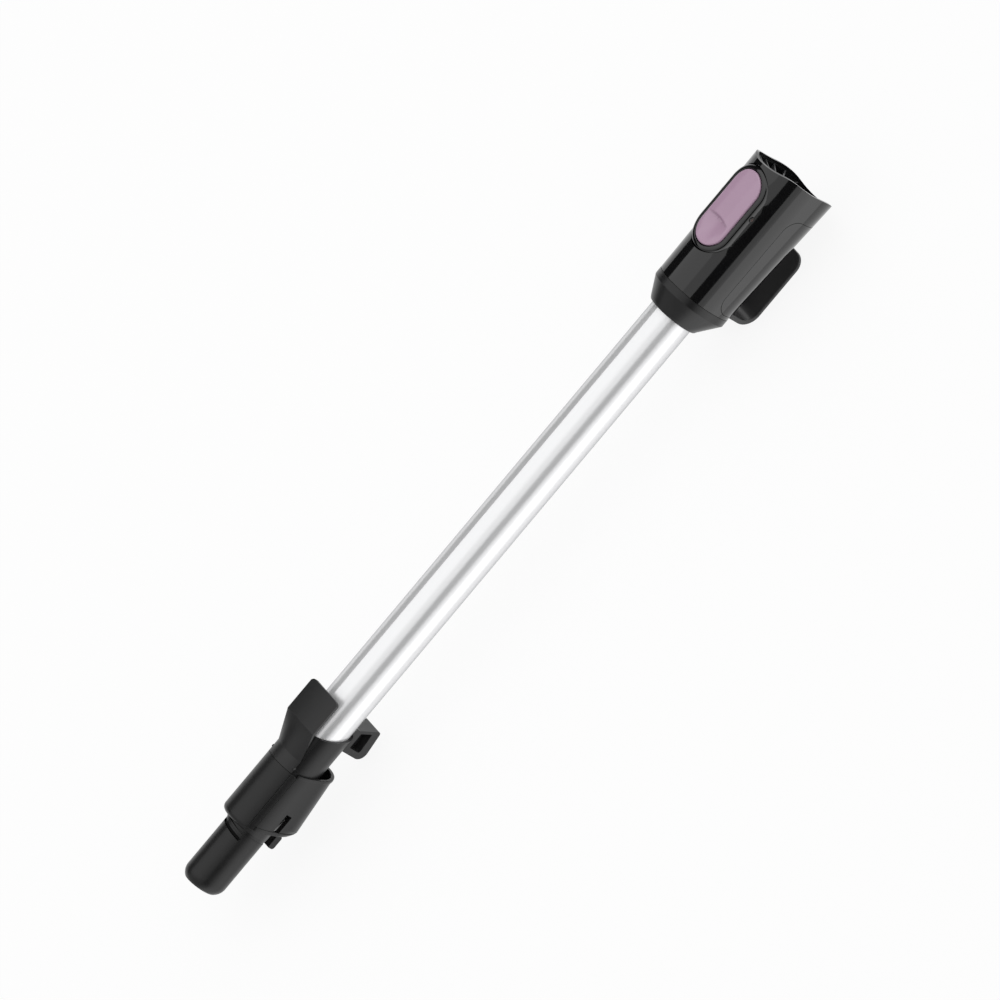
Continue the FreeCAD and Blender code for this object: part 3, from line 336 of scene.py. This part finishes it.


# The slot's lining is darker and duller than the sleeve: painted shade that darkens the slot.
slot_shade_black = moulded_plastic("slot_shade_black", (0.004, 0.004, 0.004), 0.8, ior=1.2)
curved_strip("slot_shade_lining", SLOT_RADIUS, SLOT_WALL, SLOT_LOW, SLOT_HIGH,
             -LIP_HALF_ANGLE, LIP_HALF_ANGLE, 0.0, LIP_SLANT, slot_shade_black)
curved_strip("catch_lip", LIP_RADIUS, LIP_WALL, LIP_LOW, LIP_HIGH,
             -LIP_HALF_ANGLE, LIP_HALF_ANGLE, 0.0, LIP_SLANT)
curved_strip("side_rail_right", RAIL_RADIUS, RAIL_WALL, RAIL_LOW, RAIL_HIGH,
             RAIL_START, RAIL_END, TUBE_AXIS_Z)
curved_strip("side_rail_left", RAIL_RADIUS, RAIL_WALL, RAIL_LOW, RAIL_HIGH,
             -RAIL_END, -RAIL_START, TUBE_AXIS_Z)

# Screws: two plain steel pan heads that hold the sleeve to the tube, hidden under
# the rear shell. The catch's pin and the coil springs are of the same steel.
STEEL_COLOUR = (0.56, 0.56, 0.58)
steel = bpy.data.materials.new("plain_steel")
steel.use_nodes = True
tree = steel.node_tree
shader = tree.nodes["Principled BSDF"]
shader.inputs["Metallic"].default_value = 1.0
place = tree.nodes.new("ShaderNodeTexCoord")
wear = tree.nodes.new("ShaderNodeTexNoise")
wear.inputs["Scale"].default_value = 900.0
wear.inputs["Detail"].default_value = 3.0
tree.links.new(place.outputs["Object"], wear.inputs["Vector"])
tint = tree.nodes.new("ShaderNodeValToRGB")
tint.color_ramp.elements[0].color = (*[c * 0.75 for c in STEEL_COLOUR], 1.0)
tint.color_ramp.elements[1].color = (*STEEL_COLOUR, 1.0)
tree.links.new(wear.outputs["Fac"], tint.inputs["Fac"])
tree.links.new(tint.outputs["Color"], shader.inputs["Base Color"])
rough = tree.nodes.new("ShaderNodeMapRange")
rough.inputs["To Min"].default_value = 0.25
rough.inputs["To Max"].default_value = 0.45
tree.links.new(wear.outputs["Fac"], rough.inputs["Value"])
tree.links.new(rough.outputs["Result"], shader.inputs["Roughness"])
for node in ("sleeve_screws", "catch_pin"):
    finish_node(node, steel)

# Coil springs: plain steel wire, one under each lever. Each coil is a rigid copy
# of its node that rides on the wand body.
MERGE_DISTANCE = 0.00001


def merged_copy(node, name, paint):
    """A closed copy of a CAD node as a piece of its own, active and selected."""
    piece = cad[node].copy()
    piece.data = cad[node].data.copy()
    piece.parent = None
    piece.name = name
    bpy.ops.object.select_all(action="DESELECT")
    bpy.context.scene.collection.objects.link(piece)
    bpy.context.view_layer.objects.active = piece
    piece.select_set(True)
    piece.data.materials.clear()
    piece.data.materials.append(paint)
    bpy.ops.object.mode_set(mode="EDIT")
    bpy.ops.mesh.select_all(action="SELECT")
    bpy.ops.mesh.remove_doubles(threshold=MERGE_DISTANCE)
    bpy.ops.object.mode_set(mode="OBJECT")
    return piece


# Piece, node, joint, seat and the share of its length that is left when pressed.
COILS = (
    ("button_coil", "button_spring", "button_rock", (0.584, 0.0, 0.0235), 0.72),
    ("pedal_coil", "pedal_spring", "pedal_press", (0.1105, 0.0, 0.02245), 0.6),
    ("catch_coil", "catch_spring", "catch_rock", (0.0802, 0.0, -0.01585), 0.72),
)
for name, node, joint, seat, keep in COILS:
    coil = merged_copy(node, name, steel)
    bpy.ops.object.shade_smooth_by_angle(angle=math.radians(40.0))
    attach(coil, "wand")
    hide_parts(node)
    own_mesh(coil)

# Tube: drawn aluminium with a bright satin anodised skin. The die leaves faint
# straight lines along it, and handling leaves a little unevenness in its gloss.
ALUMINIUM_COLOUR = (0.86, 0.862, 0.87)
drawn = bpy.data.materials.new("drawn_aluminium")
drawn.use_nodes = True
tree = drawn.node_tree
shader = tree.nodes["Principled BSDF"]
shader.inputs["Metallic"].default_value = 0.57
place = tree.nodes.new("ShaderNodeTexCoord")
stretch = tree.nodes.new("ShaderNodeMapping")
stretch.inputs["Scale"].default_value = (6.0, 900.0, 900.0)
tree.links.new(place.outputs["Object"], stretch.inputs["Vector"])
lines = tree.nodes.new("ShaderNodeTexNoise")
lines.inputs["Scale"].default_value = 1.0
lines.inputs["Detail"].default_value = 4.0
tree.links.new(stretch.outputs["Vector"], lines.inputs["Vector"])
tint = tree.nodes.new("ShaderNodeValToRGB")
tint.color_ramp.elements[0].color = (*[c * 0.95 for c in ALUMINIUM_COLOUR], 1.0)
tint.color_ramp.elements[1].color = (*ALUMINIUM_COLOUR, 1.0)
tree.links.new(lines.outputs["Fac"], tint.inputs["Fac"])
tree.links.new(tint.outputs["Color"], shader.inputs["Base Color"])
rough = tree.nodes.new("ShaderNodeMapRange")
rough.inputs["To Min"].default_value = 0.2
rough.inputs["To Max"].default_value = 0.3
tree.links.new(lines.outputs["Fac"], rough.inputs["Value"])
tree.links.new(rough.outputs["Result"], shader.inputs["Roughness"])
bump = tree.nodes.new("ShaderNodeBump")
bump.inputs["Distance"].default_value = 0.000004
tree.links.new(lines.outputs["Fac"], bump.inputs["Height"])
tree.links.new(bump.outputs["Normal"], shader.inputs["Normal"])
shader.inputs["Specular Tint"].default_value = (0.25, 0.25, 0.26, 1.0)
finish_node("tube", drawn)

# Catch lever: a rocking bar moulded in black acetal, on its pin in the lugs. It
# has a slightly slicker skin than the housings.
slick_black = moulded_plastic("slick_black", (0.008, 0.008, 0.0083), 0.42, relief=0.00001, ior=1.44)
finish_node("catch_lever", slick_black)
finish_node("pedal_pins", slick_black)

# Rear shell, front cover and accessory hook: satin black mouldings that snap or
# screw to the sleeve. They share its resin, and their tools were polished alike.
for node in ("rear_shell", "front_cover"):
    finish_node(node, satin_black)
# The accessory hook gets a lighter copy of the satin black: painted light that lifts the shade in its
# pocket.
hook_painted_light_black = moulded_plastic("hook_painted_light_black", (0.019, 0.019, 0.0196), 0.4, ior=1.45)
finish_node("tool_hook", hook_painted_light_black)

# Rims of the rear shell: a raised bead runs round its lower and its upper edge, as
# wide as the wall is thick, and stiffens the open moulding.
RIM_RISE = 0.0006
RIM_EDGE = 0.0003
# Piece, its lower and upper cut along the wand and how far the cuts lean.
RIMS = (("rear_rim_low", None, 0.04095, 0.255), ("rear_rim_high", 0.0886, None, 0.287))


def keep_slice(low, high, slope):
    """Cuts the active piece down to what lies between two planes, and closes it."""
    bpy.ops.object.mode_set(mode="EDIT")
    for place, is_low in ((low, True), (high, False)):
        if place is not None:
            bpy.ops.mesh.select_all(action="SELECT")
            bpy.ops.mesh.bisect(plane_co=(place, 0.0, 0.0), plane_no=(1.0, 0.0, slope), use_fill=True,
                                clear_inner=is_low, clear_outer=not is_low)
    bpy.ops.object.mode_set(mode="OBJECT")


for name, low, high, slope in RIMS:
    rim = merged_copy("rear_shell", name, satin_black)
    keep_slice(low, high, slope)
    bpy.ops.object.mode_set(mode="EDIT")
    bpy.ops.mesh.select_all(action="SELECT")
    bpy.ops.transform.shrink_fatten(value=RIM_RISE)
    bpy.ops.object.mode_set(mode="OBJECT")
    soften(rim, RIM_EDGE, 50.0)
    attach(rim, "wand")

# Release pedal: a curved lever that hinges on two trunnions and ends in a broad
# flat plate for the foot. Satin black, with a finer skin on its face.
pedal_black = moulded_plastic("pedal_black", (0.009, 0.009, 0.0093), 0.4, relief=0.000025, ior=1.46)
finish_node("release_pedal", pedal_black)

# Socket: the inner duct that the machine's nozzle slides into, pressed over the
# tube, with ribs out to the housing and a flush rubber ring. Matt black.
duct_black = moulded_plastic("duct_black", (0.009, 0.009, 0.0093), 0.5, ior=1.45)
finish_node("socket_duct", duct_black)
rubber = moulded_plastic("ring_rubber", (0.022, 0.022, 0.022), 0.75, relief=0.00003)
finish_node("socket_seal", rubber)

# Mouth webs: thin radial webs in the open mouth, from the duct out to the housing.
# They are moulded with the duct, and their edges slope down towards it.
WEB_ANGLES = (-80, -60, -40, -20, 0, 20, 40, 140, 160, 180, 200, 220, 240, 260)
WEB_THICKNESS = 0.0013
WEB_INNER = 0.0181
WEB_LOW = 0.634
WEB_DUCT_TOP = 0.6413
WEB_BELOW_RIM = 0.0022
MOUTH_RADIUS = 0.0275
MOUTH_REAR = 0.0115
WEB_SINK = 0.0012
WEB_EDGE = 0.0002
RIM_BASE = 0.6469
RIM_TILT = 0.078
RIM_SHAPE = ((0.030, 0.0), (0.022, 0.0027), (0.012, 0.003), (-0.003, 0.0024), (-0.020, 0.003),
             (-0.030, 0.0017), (-0.0416, -0.0024))
webs = []
for degrees in WEB_ANGLES:
    turn = math.radians(degrees)
    outward = Vector((0.0, math.cos(turn), math.sin(turn)))
    across = Vector((0.0, -math.sin(turn), math.cos(turn)))
    reach = MOUTH_RADIUS
    if outward.z < 0.0:
        reach = MOUTH_RADIUS / max(abs(outward.y), 0.001)
        if reach * outward.z < -MOUTH_REAR:
            reach = -MOUTH_REAR * outward.z + math.sqrt(MOUTH_RADIUS ** 2 - (MOUTH_REAR * outward.y) ** 2)
    reach += WEB_SINK
    edge_z = reach * outward.z
    lift = RIM_SHAPE[-1][1]
    for (z0, x0), (z1, x1) in zip(RIM_SHAPE, RIM_SHAPE[1:]):
        if z1 <= edge_z <= z0:
            lift = x0 + (x1 - x0) * (z0 - edge_z) / (z0 - z1)
    rim_x = RIM_BASE + lift - RIM_TILT * reach * outward.y
    bpy.ops.mesh.primitive_cube_add(size=2.0)
    web = bpy.context.object
    for vertex in web.data.vertices:
        out = reach if vertex.co.x > 0 else WEB_INNER
        top = rim_x - WEB_BELOW_RIM if vertex.co.x > 0 else WEB_DUCT_TOP
        place = outward * out + across * vertex.co.y * WEB_THICKNESS / 2
        vertex.co = Vector((top if vertex.co.z > 0 else WEB_LOW, place.y, place.z + TUBE_AXIS_Z))
    bpy.ops.object.mode_set(mode="EDIT")
    bpy.ops.mesh.select_all(action="SELECT")
    bpy.ops.mesh.normals_make_consistent(inside=False)
    bpy.ops.mesh.bevel(offset=WEB_EDGE, segments=2)
    bpy.ops.object.mode_set(mode="OBJECT")
    web.select_set(False)
    webs.append(web)
for web in webs:
    web.select_set(True)
bpy.context.view_layer.objects.active = webs[0]
bpy.ops.object.join()
mouth_webs = bpy.context.object
mouth_webs.name = "mouth_webs"
bpy.ops.object.shade_smooth_by_angle(angle=math.radians(35.0))
mouth_webs.select_set(False)
# The webs' black is lighter than the duct's: a painted highlight that shows them as pale lines in the
# dark mouth.
web_highlight_black = moulded_plastic("web_highlight_black", (0.034, 0.034, 0.035), 0.24)
mouth_webs.data.materials.append(web_highlight_black)
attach(mouth_webs, "wand")

# Upper housing and rear panel: glossy black shells, moulded in a polished tool.
# Their gloss is close to a mirror, with the slight ripple of a thin wall.
gloss_black = moulded_plastic("gloss_black", (0.0032, 0.0032, 0.0034), 0.09, spread=0.03, grain=140.0,
                              relief=0.000006, ior=1.58)
for node in ("upper_shell", "rear_panel"):
    finish_node(node, gloss_black)

# Collar: the tapered skirt below the housing, clipped into it. The same black,
# with a satin skin that blurs the light into broad facets.
collar_black = moulded_plastic("collar_black", (0.007, 0.007, 0.0073), 0.33, ior=1.44)
finish_node("collar", collar_black)

# Seam tongues: a thin tongue stands behind each joint of the housing, where collar,
# shell and rear panel meet, so no light passes through. Matt black, moulded on.
# Piece, the node and stretch that it copies, its shift along the wand and its share
# of the housing's width.
TONGUES = (
    ("collar_tongue", "collar", 0.5378, 0.5383, 0.0004, 0.965),
    ("panel_tongue_low", "rear_panel", 0.5422, 0.5430, -0.0008, 0.94),
    ("panel_tongue_high", "rear_panel", 0.6289, 0.6297, 0.0008, 0.94),
)
for name, node, low, high, shift, share in TONGUES:
    tongue = merged_copy(node, name, satin_black)
    keep_slice(low, high, 0.0)
    for vertex in tongue.data.vertices:
        vertex.co.x += shift
        vertex.co.y *= share
        vertex.co.z = TUBE_AXIS_Z + (vertex.co.z - TUBE_AXIS_Z) * share
    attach(tongue, "wand")

# Hanging hook: a stiff J-shaped plate with rounded edges, moulded in matt black
# nylon. Its foot is let into the rear panel.
hanging_black = moulded_plastic("hanging_black", (0.03, 0.03, 0.0305), 0.34, ior=1.56)
finish_node("hanging_hook", hanging_black)

# Button, latch and pivot: the mauve thumb button is moulded in coloured ABS, its
# arm in black acetal, and both rock on a pin whose end shows beside the ring.
mauve_skin = moulded_plastic("mauve_abs", (0.37, 0.245, 0.335), 0.2, spread=0.03, grain=1500.0,
                             relief=0.000004, cloud=0.015)
BUTTON_LOW = 0.5735
BUTTON_HIGH = 0.639
BUTTON_HALF = 0.0147
BUTTON_TOP = 0.034
BUTTON_CROWN = 0.06
BUTTON_SINK = 0.0003
BUTTON_FLAT = 0.006
BUTTON_DROP = 0.0016
BUTTON_EDGE = 0.0011
BUTTON_WALL = 0.0026
REST_EDGE = 0.0243
REST_STEP = 0.0022
REST_DEPTH = 0.0026
REST_BOW = 0.0011
REST_BOW_SPAN = 0.0095
REST_HALF = 0.0125
REST_END = 0.002
PIVOT = Vector((0.6114, 0.0, 0.0259))
EAR_RADIUS = 0.004
EAR_PLACE = 0.0097
EAR_THICKNESS = 0.002
EAR_RISE = 0.0025
FINE_EDGE = 0.0002


def thumb_face(x, y):
    """Height of the button's outer face, crowned across and with a dished thumb rest."""
    run = (BUTTON_HIGH - BUTTON_LOW) / 2 - BUTTON_HALF
    middle = (BUTTON_LOW + BUTTON_HIGH) / 2
    inset = BUTTON_HALF - math.hypot(max(abs(x - middle) - run, 0.0), y)
    aside = max(abs(y) - BUTTON_FLAT, 0.0) / (BUTTON_HALF - BUTTON_FLAT)
    height = BUTTON_TOP - BUTTON_SINK - BUTTON_DROP * aside ** 2
    if inset < BUTTON_EDGE:
        height -= BUTTON_EDGE - math.sqrt(max(BUTTON_EDGE ** 2 - (BUTTON_EDGE - inset) ** 2, 0.0))
    up = x - BUTTON_LOW
    rest = REST_EDGE - REST_BOW * (y / REST_BOW_SPAN) ** 2
    depth = REST_DEPTH * max(1.0 - (y / REST_HALF) ** 2, 0.0)
    if up < rest - REST_STEP:
        slope_length = max(rest - REST_STEP - REST_END, 0.0001)
        height -= depth * max(min((up - REST_END) / slope_length, 1.0), 0.0)
    elif up < rest:
        share = (rest - up) / REST_STEP
        height -= depth * share * share * (3.0 - 2.0 * share)
    return height


bpy.ops.mesh.primitive_grid_add(x_subdivisions=170, y_subdivisions=48, size=2.0)
thumb_button = bpy.context.object
thumb_button.name = "thumb_button"
for vertex in thumb_button.data.vertices:
    y = BUTTON_HALF * math.sin(vertex.co.y * math.pi / 2)
    reach = (BUTTON_HIGH - BUTTON_LOW) / 2 - BUTTON_HALF + math.sqrt(max(BUTTON_HALF ** 2 - y * y, 0.0))
    x = (BUTTON_LOW + BUTTON_HIGH) / 2 + reach * math.sin(vertex.co.x * math.pi / 2)
    vertex.co = Vector((x, y, thumb_face(x, y)))
bpy.ops.object.mode_set(mode="EDIT")
bpy.ops.mesh.select_all(action="SELECT")
bpy.ops.mesh.duplicate()
bpy.ops.mesh.flip_normals()
bpy.ops.object.mode_set(mode="OBJECT")
for vertex in thumb_button.data.vertices:
    if vertex.select:
        underside = math.sqrt(BUTTON_CROWN ** 2 - vertex.co.y ** 2) - BUTTON_CROWN
        vertex.co.z = BUTTON_TOP - BUTTON_WALL + underside
bpy.ops.object.mode_set(mode="EDIT")
bpy.ops.mesh.select_all(action="DESELECT")
bpy.ops.mesh.select_non_manifold(extend=False)
bpy.ops.mesh.bridge_edge_loops()
bpy.ops.object.mode_set(mode="OBJECT")
thumb_button.select_set(False)
ears = []
for side in (-1, 1):
    bpy.ops.mesh.primitive_cylinder_add(vertices=48, radius=EAR_RADIUS, depth=EAR_THICKNESS,
                                        rotation=(math.pi / 2, 0.0, 0.0),
                                        location=PIVOT + Vector((0.0, side * EAR_PLACE, 0.0)))
    ear = bpy.context.object
    bpy.ops.object.transform_apply(location=True, rotation=True, scale=True)
    pick(ear, lambda co: co.z > PIVOT.z + 0.0001)
    bpy.ops.transform.translate(value=(0.0, 0.0, EAR_RISE))
    bpy.ops.object.mode_set(mode="OBJECT")
    soften(ear, FINE_EDGE)
    ears.append(ear)
for piece in ears + [thumb_button]:
    piece.select_set(True)
bpy.context.view_layer.objects.active = thumb_button
bpy.ops.object.join()
bpy.ops.object.shade_smooth_by_angle(angle=math.radians(50.0))
thumb_button.select_set(False)
thumb_button.data.materials.append(mauve_skin)
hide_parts("release_button")
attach(thumb_button, "button")
finish_node("latch_arm", slick_black)
pin_brown = moulded_plastic("pin_end", (0.032, 0.013, 0.009), 0.45)
finish_node("button_pin", pin_brown)
BOSS_RADIUS = 0.0024
BOSS_INNER = 0.0188
BOSS_OUTER = 0.0207
BOSS_RIM = 0.0005
BOSS_SINK = 0.0007
PIN_END_RADIUS = 0.0015
PIN_END_FLATNESS = 0.5
PIN_END_DEPTH = 0.001
for side, label in ((-1, "right"), (1, "left")):
    bpy.ops.mesh.primitive_cylinder_add(vertices=48, radius=BOSS_RADIUS, depth=BOSS_OUTER - BOSS_INNER,
                                        rotation=(math.pi / 2, 0.0, 0.0),
                                        location=(PIVOT.x, side * (BOSS_INNER + BOSS_OUTER) / 2, PIVOT.z))
    boss = bpy.context.object
    boss.name = "pin_boss_" + label
    bpy.ops.object.transform_apply(location=True, rotation=True, scale=True)
    pick(boss, lambda co: abs(co.y) > BOSS_OUTER - 0.0001)
    bpy.ops.mesh.inset(thickness=BOSS_RIM)
    bpy.ops.transform.translate(value=(0.0, -side * BOSS_SINK, 0.0))
    bpy.ops.object.mode_set(mode="OBJECT")
    soften(boss, FINE_EDGE)
    boss.data.materials.append(gloss_black)
    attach(boss, "wand")
    bpy.ops.mesh.primitive_uv_sphere_add(segments=32, ring_count=16, radius=PIN_END_RADIUS,
                                         location=(PIVOT.x, side * (BOSS_OUTER - PIN_END_DEPTH), PIVOT.z))
    head = bpy.context.object
    head.name = "pin_head_" + label
    bpy.ops.object.transform_apply(location=True, rotation=True, scale=True)
    bpy.ops.object.mode_set(mode="EDIT")
    bpy.ops.mesh.select_all(action="SELECT")
    bpy.ops.transform.resize(value=(1.0, PIN_END_FLATNESS, 1.0),
                             center_override=(PIVOT.x, side * (BOSS_OUTER - PIN_END_DEPTH), PIVOT.z))
    bpy.ops.object.mode_set(mode="OBJECT")
    bpy.ops.object.shade_smooth_by_angle(angle=math.radians(40.0))
    head.select_set(False)
    head.data.materials.append(pin_brown)
    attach(head, "wand")

# Bezel: the raised ring round the button, part of the glossy trim, with rounded
# edges that catch the light as thin bright lines.
finish_node("button_bezel", gloss_black)
